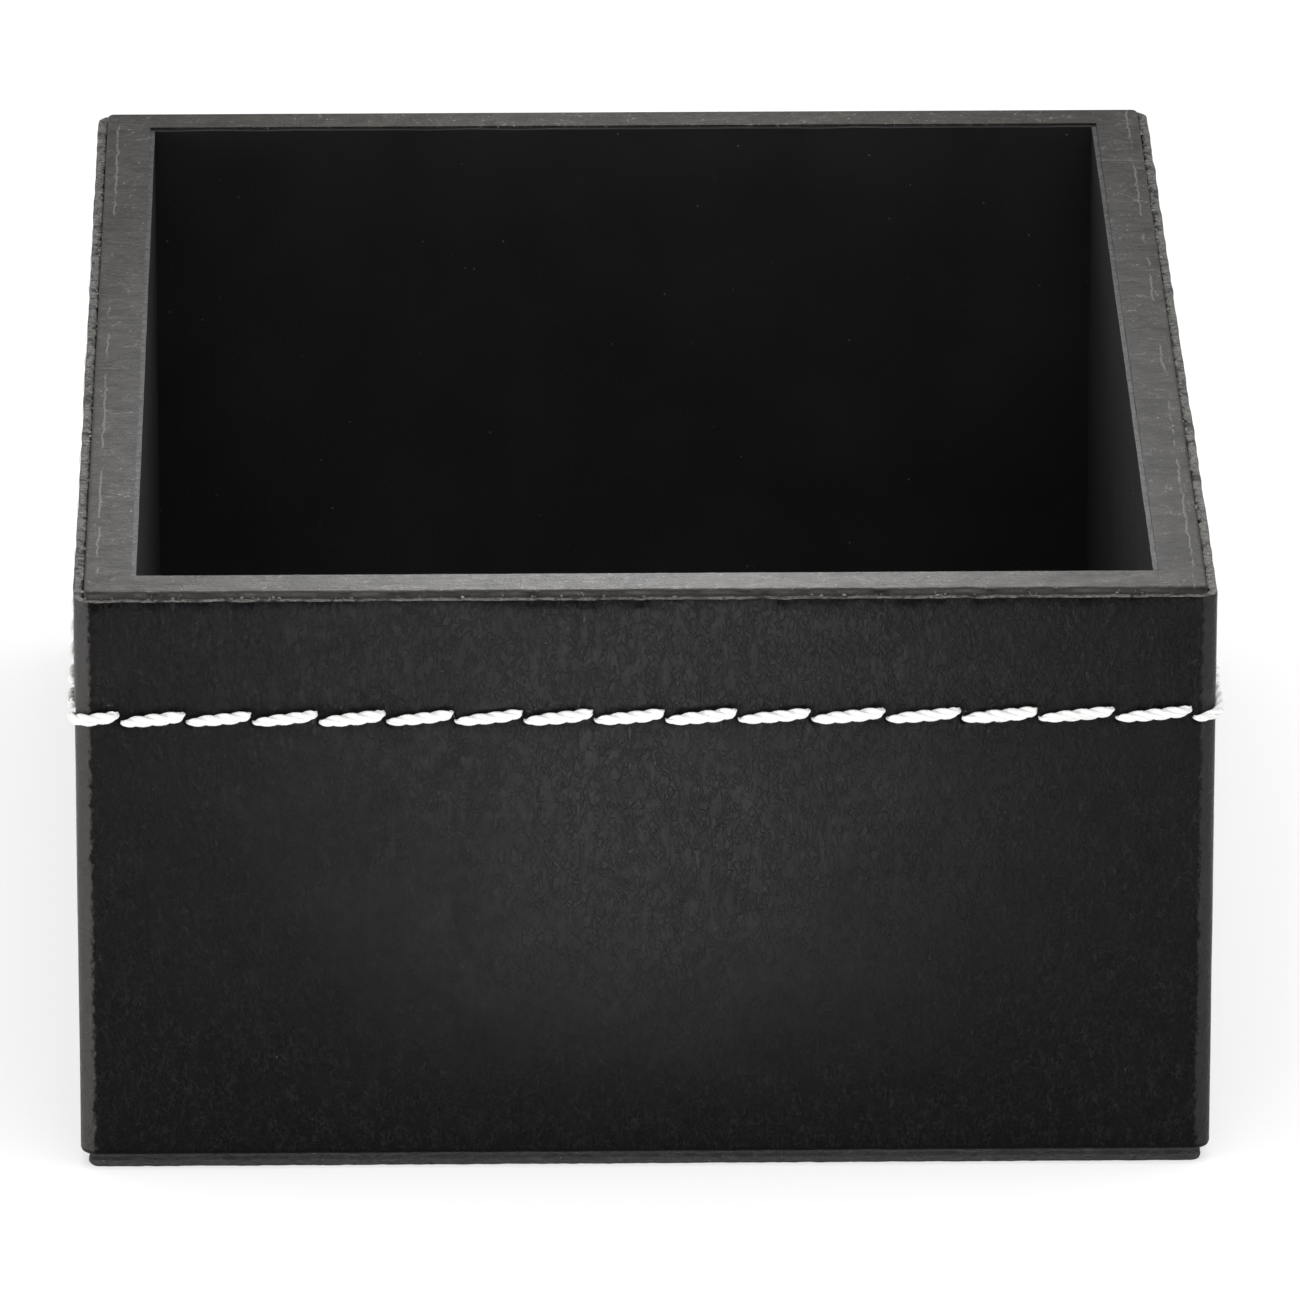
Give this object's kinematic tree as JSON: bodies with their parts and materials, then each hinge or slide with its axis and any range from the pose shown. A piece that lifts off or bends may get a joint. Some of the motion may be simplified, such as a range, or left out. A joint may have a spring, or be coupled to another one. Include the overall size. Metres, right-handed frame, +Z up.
{
  "type": "paper clip holder",
  "caption": "Open-topped desk box for paper clips: thin dark painted boards wrapped in black faux leather, with one row of white slanted stitching all round.",
  "frame": {"origin": "middle of the underside, where the base sheet rests on the desk", "axes": "+Z up, +Y along the long sides towards the back, +X to the right seen from the front"},
  "size_m": [0.1002, 0.1292, 0.0533],
  "materials": {
    "board": "black-painted fibreboard, matt, sanded edges",
    "leather": "fine-grained faux leather, semi-matt",
    "thread": "thick twisted white sewing thread",
    "lining": "black matt lining sheet",
    "base_sheet": "dark grey pressed-fibre sheet"
  },
  "bodies": {
    "root": {"left_board": "board", "right_board": "board", "front_board": "board", "back_board": "board", "base_board": "board", "base_sheet": "base_sheet", "floor_lining": "lining", "front_lining": "lining", "back_lining": "lining", "left_lining": "lining", "right_lining": "lining", "leather_wrap": "leather", "needle_thread": "thread", "bobbin_thread": "thread"}
  },
  "joints": []
}
